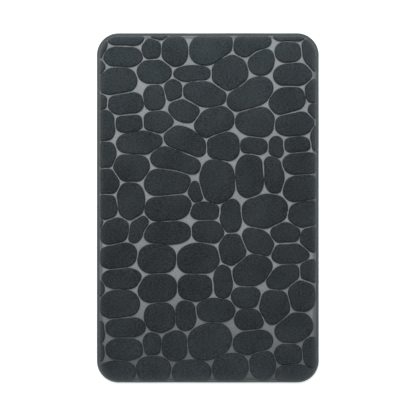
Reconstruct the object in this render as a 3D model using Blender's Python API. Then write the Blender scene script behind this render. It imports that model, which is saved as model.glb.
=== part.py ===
"""Bath mat: a plush face cloth pressed into cobblestones over memory foam, on a non-slip backing.

The mat lies flat on z = 0 with its width along X and its length along Y. From the floor up it is a grip
coating, a scrim, a foam core and the face cloth. A folded tape binds the edge, and a lockstitch of a
needle thread above and a bobbin thread below closes it.
"""

import math

import bmesh
import bpy
import numpy as np

# Overall size of the mat, in metres.
MAT_WIDTH = 0.508
MAT_LENGTH = 0.800
CORNER_RADIUS = 0.050

# Clearance between pieces that touch.
GAP = 0.0003

# Thicknesses, from the floor up.
FLOOR_CLEARANCE = 0.0001
THREAD_DIAMETER = 0.0004
LABEL_THICKNESS = 0.0003
TAPE_THICKNESS = 0.0007
SCRIM_THICKNESS = 0.0004
FOAM_BASE = 0.0040
STONE_RISE = 0.0050
PRESSED_PILE = 0.0009
STONE_PILE = 0.0022
HEM_PILE = 0.0020

# Widths in plan.
BINDING_WIDTH = 0.0066
STITCH_MARGIN = 0.0010
LEDGE_WIDTH = 0.0008
SIDE_PILE = 0.0022
CHANNEL_WIDTH = 0.0026

# Care label, sewn in at the near edge and lying towards the middle of the mat.
LABEL_WIDTH = 0.025
LABEL_LENGTH = 0.045
LABEL_X = -0.150
LABEL_HEAD_INSET = 0.0030
LABEL_CLEARANCE = 0.0010

# The stones, in millimetres on a mat of DRAWN_SIZE, and stretched with the mat. Each is a rounded oval:
# centre x, centre y, half length, half width, tilt in degrees, and taper, by which its width grows
# towards the end that the tilt points at. Where two ovals meet, a channel divides them.
DRAWN_SIZE = (0.508, 0.800)
SQUARENESS = 2.5
STONES = (
    (-187, 384, 42, 13, 0, 0), (-194, 345, 45, 23, 0, 0), (-241, 363, 21, 7.5, 70, 0),
    (-247, 318, 17, 12, 90, 0), (-206, 289, 44, 32, 5, 0), (-122, 311, 39, 27, 0, 0),
    (-128.5, 362.5, 23, 21, 90, 0), (-110, 394, 20, 9, 0, 0), (-75.5, 358, 35, 29.5, 90, 0),
    (9, 364, 52, 36, 14, 0), (-35, 306.5, 43.5, 17.5, 1, 0), (50, 311, 45, 41, 90, -0.15),
    (101, 369, 46, 29, 6, 0), (121, 342, 39, 30, 90, 0), (184, 356, 30, 23.5, 0, 0),
    (186, 391, 36, 10.5, 0, 0), (237, 348, 38, 18, 112, 0), (194, 304, 44, 26, 4, 0),
    (243, 266, 27, 20, 90, 0), (96, 258.5, 57, 33, 28, 0), (181.5, 245, 42, 31, 20, 0),
    (-7, 260, 51, 28, -10, 0), (-187, 239, 41.5, 26, 3, 0), (-122, 251.5, 29.5, 25, 85, 0),
    (-79, 268, 25, 20, 95, 0), (-54, 222, 36, 25, -18, 0), (-244, 241, 16, 14, 90, 0),
    (-236, 187, 36, 24, 90, 0), (-180, 193, 32.5, 20.5, 4, 0), (-113, 196, 35, 25, -3, 0),
    (15, 195.5, 47, 33, 22, 0), (107, 197, 45.5, 34, -6, 0.15), (198, 192, 46, 27, 5, 0),
    (246, 222, 18, 16, 90, 0), (-155, 148, 54, 27, 3, 0), (-52, 150, 53, 31, -25, 0),
    (35, 140, 38, 36, 0, 0), (105, 141, 32, 19.5, -3, 0), (156.5, 138, 25, 16.5, 90, 0),
    (204, 144, 31, 18, 2, 0), (251, 160, 32, 15, 90, 0), (-233, 121.5, 31, 23, 90, 0),
    (-175, 92, 42, 32.5, 0, 0), (-74, 107, 60, 32, -17, 0), (-91, 60, 55, 36, 6, 0),
    (-29, 36, 26, 16, 108, 0), (22, 61, 53, 40, 92, 0), (96, 73, 51, 33, 88, 0),
    (150, 76, 44, 23, 98, 0), (214, 101, 44, 25, 2, 0), (214, 44, 43, 31, 8, 0),
    (-230, 60, 30, 28, 90, 0), (-175.5, 15, 44, 32, 95, 0), (-231, 3, 29, 25, 90, 0),
    (-91, 1.5, 57, 31, 8, 0), (-212, -55, 36, 30, 20, 0), (-250, -40, 14, 12, 90, 0),
    (-160, -48, 35, 19, 60, 0), (-93, -57, 57, 26, 2, 0), (0, -55, 38, 26, -5, 0),
    (-7, -7, 35, 21, -3, 0), (52.5, -18, 40, 24.5, 92, 0), (130, -8, 54, 38, 8, 0),
    (222, -14, 40, 31, 15, 0), (178, -57, 34, 24, 0, 0), (238, -72, 29, 27, 90, 0),
    (115, -79, 42, 28, -35, 0), (188, -105, 45, 24, 0, 0), (101, -142, 48, 35, 25, 0),
    (57, -96, 38, 31, 93, 0), (35, -169, 39, 21, 88, 0), (-22, -117, 49, 36, 8, 0),
    (-116, -117, 44.5, 34, 0, 0), (-204, -110, 43, 30, 12, 0), (-196, -161.5, 46, 23.5, 0, 0),
    (-115, -184, 45, 33, 8, 0), (-29, -181, 40, 32, 0, 0), (-202, -221, 46, 33, 5, 0),
    (-188, -273, 47, 23, 2, 0), (-109, -250, 36, 35, 0, 0), (-51, -246, 34, 24, 90, 0),
    (18, -234, 45, 27, 0, 0), (88, -204, 34, 25, 0, 0), (173, -158, 42, 25, 28, 0),
    (234, -145, 26, 25, 90, 0), (214, -201, 37, 31, 90, 0), (153, -228, 41, 36, 90, 0.15),
    (95, -256, 34, 25, -5, 0), (196, -274, 44, 33, 20, 0), (3, -305, 53, 40, 20, 0),
    (103, -307, 46, 28, 8, 0), (-190, -323, 44, 24.5, 0, 0), (-127, -312, 27, 21, 90, 0),
    (-75, -315, 34, 31, 90, 0), (-249, -186, 20, 12, 90, 0), (-249, -284, 26, 13, 90, 0),
    (-205, -373, 42, 23, 0, 0), (-124, -367, 40, 29, 0, 0), (-37, -373, 45, 25, 0, 0),
    (52, -364, 42, 31, 8, 0), (125, -357, 33, 30, 90, 0), (184, -335, 32, 25, 0, 0),
    (197, -378, 44, 20, 0, 0), (238, -331, 35, 21, 95, 0), (-247, -330, 20, 10, 90, 0),
)

# Facets on the round shapes.
STONE_SIDES = 14
FOAM_STONE_SIDES = 8
CORNER_STEPS = 8
HALVINGS = 24

# Heights that follow from the thicknesses.
BOBBIN_Z = FLOOR_CLEARANCE + THREAD_DIAMETER / 2
LABEL_LOW = FLOOR_CLEARANCE + THREAD_DIAMETER + GAP
TAPE_LOW = LABEL_LOW + LABEL_THICKNESS + GAP
GRIP_TOP = TAPE_LOW + TAPE_THICKNESS
SCRIM_LOW = GRIP_TOP + GAP
SCRIM_TOP = SCRIM_LOW + SCRIM_THICKNESS
CORE_LOW = SCRIM_TOP + GAP
FOAM_TOP = CORE_LOW + FOAM_BASE
FOAM_STONE_TOP = FOAM_TOP + STONE_RISE
CHANNEL_LOW = FOAM_TOP + GAP
CHANNEL_TOP = CHANNEL_LOW + PRESSED_PILE
STONE_LOW = FOAM_STONE_TOP + GAP
STONE_TOP = STONE_LOW + STONE_PILE
HEM_TOP = CORE_LOW + HEM_PILE
TAPE_TOP = HEM_TOP + GAP + TAPE_THICKNESS
NEEDLE_Z = TAPE_TOP + GAP + THREAD_DIAMETER / 2

# Insets from the mat's edge that follow from the widths.
LAYER_INSET = TAPE_THICKNESS + GAP
STITCH_INSET = BINDING_WIDTH - STITCH_MARGIN
FACE_INSET = BINDING_WIDTH + GAP
CAVITY_INSET = FACE_INSET + SIDE_PILE
FOAM_INSET = CAVITY_INSET + GAP
STONE_INSET = FACE_INSET + LEDGE_WIDTH


def clear_scene():
    """Remove whatever the scene holds."""
    for obj in list(bpy.data.objects):
        bpy.data.objects.remove(obj, do_unlink=True)


def add_collection(name):
    """Return a new collection linked to the scene."""
    collection = bpy.data.collections.new(name)
    bpy.context.scene.collection.children.link(collection)
    return collection


def finish_material(obj, colour, roughness, smooth=False):
    """Give the object its own Principled material."""
    material = bpy.data.materials.new(obj.name)
    material.use_nodes = True
    shader = material.node_tree.nodes["Principled BSDF"]
    shader.inputs["Base Color"].default_value = (*colour, 1.0)
    shader.inputs["Roughness"].default_value = roughness
    shader.inputs["Metallic"].default_value = 0.0
    material.diffuse_color = (*colour, 1.0)
    obj.data.materials.clear()
    obj.data.materials.append(material)
    if smooth:
        obj.data.shade_smooth()
        obj.data.set_sharp_from_angle(angle=math.radians(50))


def rounded_rectangle(inset):
    """Return the corners of the mat's outline, moved in by inset, counter-clockwise."""
    reach_x = MAT_WIDTH / 2 - CORNER_RADIUS
    reach_y = MAT_LENGTH / 2 - CORNER_RADIUS
    radius = CORNER_RADIUS - inset
    points = []
    for quarter, (side_x, side_y) in enumerate(((1, 1), (-1, 1), (-1, -1), (1, -1))):
        for step in range(CORNER_STEPS + 1):
            angle = math.pi / 2 * (quarter + step / CORNER_STEPS)
            x = side_x * reach_x + radius * math.cos(angle)
            y = side_y * reach_y + radius * math.sin(angle)
            points.append((x, y))
    return points


def add_curve(name, collection, outlines):
    """Return a flat curve object with one closed straight-sided spline for each outline."""
    curve = bpy.data.curves.new(name, "CURVE")
    curve.dimensions = "2D"
    for outline in outlines:
        spline = curve.splines.new("POLY")
        spline.points.add(len(outline) - 1)
        for point, (x, y) in zip(spline.points, outline):
            point.co = (x, y, 0, 1)
        spline.use_cyclic_u = True
    obj = bpy.data.objects.new(name, curve)
    collection.objects.link(obj)
    return obj


def to_mesh(curve_object):
    """Replace a curve object by a closed mesh object of the same name and place."""
    bpy.context.view_layer.update()
    graph = bpy.context.evaluated_depsgraph_get()
    mesh = bpy.data.meshes.new_from_object(curve_object.evaluated_get(graph))
    welder = bmesh.new()
    welder.from_mesh(mesh)
    bmesh.ops.remove_doubles(welder, verts=welder.verts, dist=1e-6)
    bmesh.ops.recalc_face_normals(welder, faces=welder.faces)
    welder.to_mesh(mesh)
    welder.free()
    name = curve_object.name
    collection = curve_object.users_collection[0]
    matrix = curve_object.matrix_world.copy()
    bpy.data.objects.remove(curve_object, do_unlink=True)
    obj = bpy.data.objects.new(name, mesh)
    obj.matrix_world = matrix
    collection.objects.link(obj)
    return obj


def add_slab(name, collection, outlines, low, high):
    """Return the outlines filled and given the height from low to high."""
    obj = add_curve(name, collection, outlines)
    obj.data.fill_mode = "BOTH"
    obj.data.extrude = (high - low) / 2
    obj.location.z = (high + low) / 2
    return to_mesh(obj)


def add_boolean(obj, operation, other):
    """Join, cut or clip the object with another by a live Boolean."""
    modifier = obj.modifiers.new(f"{operation.title()} {other.name}", "BOOLEAN")
    modifier.operation = operation
    modifier.object = other
    modifier.solver = "EXACT"


def as_helper(obj):
    """Keep the object out of renders and show it as a wire."""
    obj.hide_render = True
    obj.display_type = "WIRE"
    return obj


def stone_table():
    """Return centres, half sizes, tilts and tapers of the stones, in metres and radians."""
    table = np.array(STONES, dtype=float)
    stretch = np.array((MAT_WIDTH, MAT_LENGTH)) / DRAWN_SIZE
    centres = table[:, 0:2] / 1000 * stretch
    return centres, table[:, 2:4] / 1000, np.radians(table[:, 4]), table[:, 5], stretch


def oval_reach(offsets, halves, tilts, tapers, stretch):
    """Return how far each oval reaches from its centre in the direction of each offset.

    In the oval's own axes the edge is where |u / a|^n + |v / (b (1 + taper cos))|^n = 1, with n the
    squareness and cos that of the direction.
    """
    drawn = offsets / stretch
    along = drawn[..., 0] * np.cos(tilts) + drawn[..., 1] * np.sin(tilts)
    across = drawn[..., 1] * np.cos(tilts) - drawn[..., 0] * np.sin(tilts)
    widths = halves[..., 1] * (1 + tapers * along / np.hypot(along, across))
    powers = np.abs(along / halves[..., 0]) ** SQUARENESS + np.abs(across / widths) ** SQUARENESS
    return np.hypot(offsets[..., 0], offsets[..., 1]) / powers ** (1 / SQUARENESS)


def stone_outlines(sides, inset):
    """Return each stone's outline, moved in by inset, as far as its oval and its channels let it reach.

    A point belongs to a stone if it is inside the stone's oval and its distance outside every other
    oval is greater by the channel's width. Halving finds the last such point along each ray.
    """
    centres, halves, tilts, tapers, stretch = stone_table()
    turn = 2 * math.pi * np.arange(sides) / sides
    along = halves[:, 0:1] * np.cos(turn)
    across = halves[:, 1:2] * np.sin(turn)
    cosine, sine = np.cos(tilts)[:, None], np.sin(tilts)[:, None]
    rays = np.stack((along * cosine - across * sine, along * sine + across * cosine), axis=-1)
    rays = rays * stretch / np.linalg.norm(rays * stretch, axis=-1, keepdims=True)
    shapes = (halves, tilts, tapers, stretch)
    own_shapes = (halves[:, None], tilts[:, None], tapers[:, None], stretch)
    reach = oval_reach(rays, *own_shapes)
    near, far = np.zeros_like(reach), reach - inset
    own = np.arange(len(centres))
    for _ in range(HALVINGS):
        middle = (near + far) / 2
        spots = centres[:, None] + rays * middle[..., None]
        offsets = spots[:, :, None] - centres
        outside = np.linalg.norm(offsets, axis=-1) - oval_reach(offsets, *shapes)
        depth = -outside[own, :, own]
        outside[own, :, own] = np.inf
        inside = outside.min(axis=2) + depth >= CHANNEL_WIDTH + 2 * inset
        near, far = np.where(inside, middle, near), np.where(inside, far, middle)
    return centres[:, None] + rays * near[..., None]


def add_stones(name, helpers, sides, inset, low, high):
    """Return the stones as upright prisms, moved in by inset and cut off by the rim."""
    stones = as_helper(add_slab(name, helpers, stone_outlines(sides, inset), low, high))
    reach = (high - low) / 2
    outline = rounded_rectangle(STONE_INSET + inset)
    rim = as_helper(add_slab(f"{name}_rim", helpers, [outline], low - reach, high + reach))
    add_boolean(stones, "INTERSECT", rim)
    return stones


def label_outline(clearance):
    """Return the care label's corners, moved out by clearance."""
    side = LABEL_WIDTH / 2 + clearance
    head = LABEL_HEAD_INSET - MAT_LENGTH / 2 - clearance
    foot = head + LABEL_LENGTH + 2 * clearance
    left, right = LABEL_X - side, LABEL_X + side
    return [(left, head), (right, head), (right, foot), (left, foot)]


def build_grip_coating(parts, helpers):
    """Non-slip coating inside the binding, with a bare patch where the care label lies."""
    obj = add_slab("grip_coating", parts, [rounded_rectangle(FACE_INSET)], 0, GRIP_TOP)
    patch = label_outline(LABEL_CLEARANCE)
    bare = as_helper(add_slab("bare_patch", helpers, [patch], -GRIP_TOP, 2 * GRIP_TOP))
    add_boolean(obj, "DIFFERENCE", bare)
    finish_material(obj, (0.06, 0.06, 0.062), 0.6)


def build_care_label(parts):
    """Blank satin label, its head caught between the binding and the bobbin thread."""
    obj = add_slab("care_label", parts, [label_outline(0)], LABEL_LOW, LABEL_LOW + LABEL_THICKNESS)
    finish_material(obj, (0.75, 0.75, 0.73), 0.4)


def build_backing_scrim(parts):
    """Woven backing cloth, which reaches into the fold of the binding."""
    obj = add_slab("backing_scrim", parts, [rounded_rectangle(LAYER_INSET)], SCRIM_LOW, SCRIM_TOP)
    finish_material(obj, (0.09, 0.09, 0.095), 0.9)


def build_foam_core(parts, helpers):
    """Foam slab with a foam stone in every stone of the face cloth."""
    obj = add_slab("foam_core", parts, [rounded_rectangle(FOAM_INSET)], CORE_LOW, FOAM_TOP)
    root = FOAM_TOP - FOAM_BASE / 4
    stones = add_stones("foam_stones", helpers, FOAM_STONE_SIDES, SIDE_PILE + GAP, root, FOAM_STONE_TOP)
    add_boolean(obj, "UNION", stones)
    finish_material(obj, (0.55, 0.54, 0.50), 0.95)


def build_face_fabric(parts, helpers):
    """Plush cloth over the foam: stones and channels, a skirt down the side and a hem in the binding."""
    obj = add_slab("face_fabric", parts, [rounded_rectangle(FACE_INSET)], CORE_LOW, CHANNEL_TOP)
    hem_outline = rounded_rectangle(LAYER_INSET)
    hem = as_helper(add_slab("hem", helpers, [hem_outline], CORE_LOW, HEM_TOP))
    add_boolean(obj, "UNION", hem)
    root = CHANNEL_TOP - PRESSED_PILE / 2
    stones = add_stones("pile_stones", helpers, STONE_SIDES, 0, root, STONE_TOP)
    add_boolean(obj, "UNION", stones)
    bed_outline = rounded_rectangle(CAVITY_INSET)
    bed = as_helper(add_slab("foam_bed", helpers, [bed_outline], CORE_LOW - FOAM_BASE, CHANNEL_LOW))
    add_boolean(obj, "DIFFERENCE", bed)
    root = CHANNEL_LOW - FOAM_BASE / 4
    pockets = add_stones("stone_pockets", helpers, FOAM_STONE_SIDES, SIDE_PILE, root, STONE_LOW)
    add_boolean(obj, "DIFFERENCE", pockets)
    finish_material(obj, (0.038, 0.047, 0.050), 0.95)


def build_edge_binding(parts, helpers):
    """Tape folded round the edge: a C-shaped section carried round the mat's outline."""
    fold_top = HEM_TOP + GAP
    section = [
        (BINDING_WIDTH, TAPE_LOW), (0, TAPE_LOW), (0, TAPE_TOP), (BINDING_WIDTH, TAPE_TOP),
        (BINDING_WIDTH, fold_top), (TAPE_THICKNESS, fold_top),
        (TAPE_THICKNESS, GRIP_TOP), (BINDING_WIDTH, GRIP_TOP),
    ]
    profile = as_helper(add_curve("binding_section", helpers, [section]))
    ring = add_curve("edge_binding", parts, [rounded_rectangle(0)])
    ring.data.bevel_mode = "OBJECT"
    ring.data.bevel_object = profile
    obj = to_mesh(ring)
    finish_material(obj, (0.098, 0.118, 0.118), 0.85, smooth=True)


def build_thread(name, parts, height, colour):
    """One thread of the lockstitch: a round tube along the stitch line."""
    ring = add_curve(name, parts, [rounded_rectangle(STITCH_INSET)])
    ring.data.bevel_depth = THREAD_DIAMETER / 2
    ring.data.bevel_resolution = 1
    ring.location.z = height
    obj = to_mesh(ring)
    finish_material(obj, colour, 0.6, smooth=True)


def main():
    clear_scene()
    parts = add_collection("bath_mat")
    helpers = add_collection("cutters")
    build_grip_coating(parts, helpers)
    build_care_label(parts)
    build_backing_scrim(parts)
    build_foam_core(parts, helpers)
    build_face_fabric(parts, helpers)
    build_edge_binding(parts, helpers)
    build_thread("needle_thread", parts, NEEDLE_Z, (0.20, 0.23, 0.23))
    build_thread("bobbin_thread", parts, BOBBIN_Z, (0.15, 0.17, 0.17))


main()
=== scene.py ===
import functools
import math

import bpy
import numpy as np
from bpy.props import FloatProperty, FloatVectorProperty, PointerProperty
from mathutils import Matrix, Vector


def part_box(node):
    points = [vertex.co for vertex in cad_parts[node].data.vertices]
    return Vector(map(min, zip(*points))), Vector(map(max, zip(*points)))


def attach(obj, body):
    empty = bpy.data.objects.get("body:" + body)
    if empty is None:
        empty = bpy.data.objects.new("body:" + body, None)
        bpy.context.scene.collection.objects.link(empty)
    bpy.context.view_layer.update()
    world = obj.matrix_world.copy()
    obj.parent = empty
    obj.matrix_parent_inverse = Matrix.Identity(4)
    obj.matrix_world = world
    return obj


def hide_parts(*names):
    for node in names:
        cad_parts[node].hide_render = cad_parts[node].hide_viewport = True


bl_info = {
    "name": "Cobbled Bath Mat",
    "version": (1, 0, 0),
    "blender": (4, 5, 0),
    "location": "3D View > Sidebar > Bath Mat",
    "description": "Builds a plush foam bath mat embossed with cobblestones, round its solid model",
    "category": "Object",
}

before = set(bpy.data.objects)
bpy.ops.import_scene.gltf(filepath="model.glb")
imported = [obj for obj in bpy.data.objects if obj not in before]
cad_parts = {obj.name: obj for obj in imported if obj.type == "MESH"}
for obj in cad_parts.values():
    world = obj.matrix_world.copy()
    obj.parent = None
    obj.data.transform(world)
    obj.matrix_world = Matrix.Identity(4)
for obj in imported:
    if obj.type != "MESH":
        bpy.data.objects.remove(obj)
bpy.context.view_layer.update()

TAPE_LOW, TAPE_HIGH = (np.array(corner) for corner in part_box("edge_binding"))
SCRIM_LOW, SCRIM_HIGH = (np.array(corner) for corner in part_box("backing_scrim"))
FOAM_LOW, FOAM_HIGH = (np.array(corner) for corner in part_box("foam_core"))
GRIP_LOW, GRIP_HIGH = (np.array(corner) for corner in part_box("grip_coating"))
LABEL_LOW, LABEL_HIGH = (np.array(corner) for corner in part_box("care_label"))
NEEDLE_HIGH = np.array(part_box("needle_thread")[1])
HALF_WIDTH, HALF_LENGTH = TAPE_HIGH[0], TAPE_HIGH[1]
MM = 0.001
TAU = 2 * math.pi

# How far the face cloth keeps from the tape: beside it, and under it.
BESIDE_TAPE = 0.3 * MM
UNDER_TAPE = 0.1 * MM
# How far a stone's foot is sunk in the pressed cloth, and the least by which it splays.
PILE_SUNK = 0.6 * MM
LEAST_SPLAY = 0.1 * MM
# Seed of the stones' heights and leans, which the pile and the foam share.
STONE_SEED = 5


# ---------------------------------------------------------------- sizes and colours


def length(name, description, default):
    return FloatProperty(name=name, description=description, default=default, unit="LENGTH", precision=5)


def colour(name, description, default):
    return FloatVectorProperty(
        name=name, description=description, default=default, subtype="COLOR", size=3, min=0, max=1
    )


class BathMatSizes(bpy.types.PropertyGroup):
    """The sizes that a maker would change, apart from those that the solid model sets"""

    corner_radius: length("Corner radius", "Radius of the mat's four rounded corners", 0.050)
    stone_edge: length("Stone edge", "How far in from its outline a stone's edge is rounded", 0.0042)
    stone_crown: length("Stone crown", "How much higher a stone's middle is than its shoulder", 0.0014)
    roundness: FloatProperty(
        name="Roundness",
        description="How far a stone's outline is smoothed, as a share of its length",
        default=0.046,
        min=0,
        max=0.2,
    )
    seam_width: length("Seam width", "Width left between stones that grow towards each other", 0.0023)
    stone_growth: length("Stone growth", "The most that a stone grows towards its neighbours", 0.0018)
    rim_run: length("Rim run", "Width over which the pile rolls down to the tape", 0.0036)
    foot_splay: length("Foot splay", "How far a stone's foot spreads where a gap is wide", 0.0014)
    hem_slope: length("Hem slope", "How much wider a stone's rounded edge is beside the tape", 0.0014)
    rim_strip: length("Rim strip", "Pressed cloth left between the tape and the stones", 0.0008)
    tape_width: length("Tape width", "Width of the binding tape on each face of the mat", 0.0066)
    tape_thickness: length("Tape thickness", "Thickness of the knitted binding tape", 0.0007)
    stitch_pitch: length("Stitch pitch", "Distance from one stitch to the next", 0.0028)
    thread_thickness: length("Thread thickness", "Thickness of the sewing thread", 0.00048)
    dot_pitch: length("Dot pitch", "Distance between neighbouring grip dots", 0.0100)
    dot_width: length("Dot width", "Width of one grip dot at its root", 0.0050)


class BathMatColours(bpy.types.PropertyGroup):
    """The colours of the cloths, threads, foam and rubber"""

    pile: colour("Pile", "Standing pile of the stones", (0.0184, 0.0223, 0.0248))
    # Painted light: a lighter pile laid at the head end, nearest the lamp; at the foot end the same tone is
    # only a lighter colour.
    pile_head_lit_foot_pale: colour("Faded pile", "Standing pile where it is a little faded", (0.0234, 0.0296, 0.0326))
    pressed: colour("Pressed cloth", "Pile pressed flat between the stones", (0.188, 0.201, 0.210))
    tape: colour("Tape", "Knitted binding tape", (0.050, 0.064, 0.067))
    thread: colour("Thread", "Needle and bobbin thread", (0.150, 0.176, 0.182))
    foam: colour("Foam", "Memory foam core", (0.55, 0.54, 0.50))
    scrim: colour("Scrim", "Woven backing cloth", (0.090, 0.092, 0.097))
    grip: colour("Grip", "Rubber grip dots", (0.045, 0.046, 0.049))
    label: colour("Label", "Satin care label", (0.75, 0.75, 0.73))


# ---------------------------------------------------------------- shapes


def edge_walk(around):
    """Even steps round the mat's edge, as an arm that walks a rectangle and turns at its corners.

    The foot of the arm stands on the rectangle of corner centres at (a, b), each from -1 to 1, and the arm
    points outwards at an angle. Foot and angle are read off straight lines by the distance walked, in which
    the arm only turns at the corners and the foot only moves between them.
    """
    radius = bpy.context.scene.bath_mat_sizes.corner_radius
    across, along, turn = 2 * (HALF_WIDTH - radius), 2 * (HALF_LENGTH - radius), math.pi / 2 * radius
    walked = np.cumsum([0, along / 2, turn, across, turn, along, turn, across, turn, along / 2])
    at = np.linspace(0, walked[-1], around, endpoint=False)
    a = np.interp(at, walked, [1, 1, 1, -1, -1, -1, -1, 1, 1, 1])
    b = np.interp(at, walked, [0, 1, 1, 1, 1, -1, -1, -1, -1, 0])
    angle = np.interp(at, walked, np.array([0, 0, 1, 1, 2, 2, 3, 3, 4, 4]) * math.pi / 2)
    return a, b, angle, at, walked[-1]


def carried_round(insets, heights, around):
    """A profile of (inset, height) points carried round the mat's edge, as a grid of rings.

    Ring k is the mat's rounded rectangle drawn in by its inset: the corner centres' rectangle plus an arm of
    corner radius less inset. Once the inset has used the radius up, the rectangle itself draws in.
    """
    radius = bpy.context.scene.bath_mat_sizes.corner_radius
    a, b, angle, _, _ = edge_walk(around)
    insets = np.broadcast_to(np.asarray(insets, float).reshape(len(insets), -1), (len(insets), around))
    arm = np.maximum(radius - insets, 1.5 * MM)
    x = (HALF_WIDTH - insets - arm) * a + arm * np.cos(angle)
    y = (HALF_LENGTH - insets - arm) * b + arm * np.sin(angle)
    z = np.broadcast_to(np.asarray(heights, float).reshape(len(heights), -1), x.shape)
    return np.stack([x, y, z], axis=-1)


def depth_in(x, y):
    """How far a point lies in from the mat's edge, and the direction out to it.

    It is the corner radius less the distance to the rectangle of corner centres, which counts as negative
    inside that rectangle.
    """
    radius = bpy.context.scene.bath_mat_sizes.corner_radius
    over_x, over_y = np.abs(x) - (HALF_WIDTH - radius), np.abs(y) - (HALF_LENGTH - radius)
    past_x, past_y = np.maximum(over_x, 0), np.maximum(over_y, 0)
    depth = radius - np.hypot(past_x, past_y) - np.minimum(np.maximum(over_x, over_y), 0)
    inside = (over_x < 0) & (over_y < 0)
    out_x = np.where(inside, over_x > over_y, past_x) * np.sign(x)
    out_y = np.where(inside, over_x <= over_y, past_y) * np.sign(y)
    size = np.maximum(np.hypot(out_x, out_y), 1e-9)
    return depth, out_x / size, out_y / size


def ripple(x, y, wavelength, seed, waves=7):
    """Gentle unevenness from -1 to 1 or so: a few sine waves of about one length, in random directions."""
    r = np.random.default_rng(seed)
    direction, size, start = r.uniform(0, TAU, waves), r.uniform(0.7, 1.4, waves), r.uniform(0, TAU, waves)
    turn = TAU / (wavelength * size)
    phase = x[..., None] * turn * np.cos(direction) + y[..., None] * turn * np.sin(direction) + start
    return np.sin(phase).sum(axis=-1) / math.sqrt(waves)


def quads(grid, close_rings=False):
    """Four-cornered faces between neighbouring rings of a (..., rings, around) grid of point numbers."""
    if close_rings:
        grid = np.concatenate([grid, grid[..., :1, :]], axis=-2)
    ahead = np.roll(grid, -1, axis=-1)
    corners = (grid[..., :-1, :], ahead[..., :-1, :], ahead[..., 1:, :], grid[..., 1:, :])
    return np.stack(corners, axis=-1).reshape(-1, 4)


def lids(grid):
    """The faces that close a (..., rings, around) grid at its first and last ring."""
    around = grid.shape[-1]
    return grid[..., 0, ::-1].reshape(-1, around), grid[..., -1, :].reshape(-1, around)


def numbered(points, first=0):
    """The number of each point of a (..., 3) array, counted on from `first`."""
    return first + np.arange(points[..., 0].size).reshape(points.shape[:-1])


def new_piece(name, points, faces, finishes, node, finish_of=None, values=None, flat_map=None):
    """A mesh object from whole arrays: points (n, 3) and a list of (faces, corners) arrays of point numbers.

    It rides on the mat, stands for the solid `node`, and is shaded smooth
    except at sharp folds. values are numbers at the points, and flat_map the corners' places on the cloth.
    """
    mesh = bpy.data.meshes.new(name)
    corners = np.concatenate([f.ravel() for f in faces]).astype(np.int32)
    sides = np.concatenate([np.full(len(f), f.shape[1]) for f in faces])
    mesh.vertices.add(len(points))
    mesh.vertices.foreach_set("co", np.asarray(points, np.float32).ravel())
    mesh.loops.add(len(corners))
    mesh.loops.foreach_set("vertex_index", corners)
    mesh.polygons.add(len(sides))
    mesh.polygons.foreach_set("loop_start", (np.cumsum(sides) - sides).astype(np.int32))
    mesh.polygons.foreach_set("use_smooth", np.ones(len(sides), bool))
    for finish in finishes:
        mesh.materials.append(finish)
    if finish_of is not None:
        mesh.polygons.foreach_set("material_index", finish_of.astype(np.int32))
    mesh.update(calc_edges=True)
    mesh.validate()
    if flat_map is not None:
        mesh.uv_layers.new(name="cloth").data.foreach_set("uv", flat_map.astype(np.float32).ravel())
    for label, numbers in (values or {}).items():
        layer = mesh.attributes.new(label, "FLOAT", "POINT")
        layer.data.foreach_set("value", numbers.astype(np.float32).ravel())
    mesh.set_sharp_from_angle(angle=math.radians(52))
    piece = bpy.data.objects.new(name, mesh)
    bpy.context.scene.collection.objects.link(piece)
    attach(piece, "root")
    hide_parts(node)
    return piece


# ---------------------------------------------------------------- the stones


def solid_cloth():
    """The points and the triangles of the solid face cloth, each point once."""
    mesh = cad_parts["face_fabric"].data
    mesh.calc_loop_triangles()
    places = np.empty(len(mesh.vertices) * 3, np.float32)
    triangles = np.empty(len(mesh.loop_triangles) * 3, np.int32)
    mesh.vertices.foreach_get("co", places)
    mesh.loop_triangles.foreach_get("vertices", triangles)
    places = places.reshape(-1, 3).astype(float)
    _, first, same = np.unique(np.round(places, 6), axis=0, return_index=True, return_inverse=True)
    return places[first], same.reshape(-1)[triangles.reshape(-1, 3)]


def cloth_levels():
    """The heights of the solid face cloth's flat faces, from the hem's underside to the stones' tops.

    They are the hem's underside and top, the cloth's lining, the pressed ground, the pockets' tops and the
    stones' tops.
    """
    return np.unique(np.round(solid_cloth()[0][:, 2], 5))


def hem_insets():
    """How far in from the mat's edge the face cloth comes out beside the tape, and where the stones end."""
    sizes = bpy.context.scene.bath_mat_sizes
    start = sizes.tape_width + BESIDE_TAPE
    return start, start + sizes.rim_strip


def stone_outlines(around, grow=0.0):
    """Each stone's outline as points round it, read from the flat tops of the solid face cloth.

    Triangles of the tops that share a corner take the lowest number among them, over and over, until each
    stone has one number. Corners on the line where the rim cuts a stone off move out under the tape. Each
    outline is then softened, and neighbours grow together. The result is a (stones, around) array of x + iy.
    """
    sizes = bpy.context.scene.bath_mat_sizes
    places, triangles = solid_cloth()
    tops = triangles[(places[triangles][:, :, 2] > places[:, 2].max() - 0.01 * MM).all(axis=1)]
    stone, before = np.arange(len(places)), None
    while before is None or (stone != before).any():
        before = stone.copy()
        np.minimum.at(stone, tops.ravel(), np.repeat(stone[tops].min(axis=1), 3))
    used = np.unique(tops)
    depth, out_x, out_y = depth_in(places[:, 0], places[:, 1])
    near_rim, under_tape = 1.4 * MM, 5.0 * MM
    tucked = np.where(depth < sizes.tape_width + near_rim, under_tape, 0)
    flat = places[:, 0] + 1j * places[:, 1] + tucked * (out_x + 1j * out_y)
    outlines = []
    for number in np.unique(stone[used]):
        ring = flat[used[stone[used] == number]]
        ring = ring[np.argsort(np.angle(ring - ring.mean()))]
        outlines.append(softened(ring, around, sizes.roundness))
    outlines = np.array(outlines)
    steps = 3
    for _ in range(steps):
        outlines = grown_together(outlines, sizes.seam_width, sizes.stone_growth / steps)
    way = outlines - outlines.mean(axis=1, keepdims=True)
    return outlines + grow * way / np.abs(way)


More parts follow.
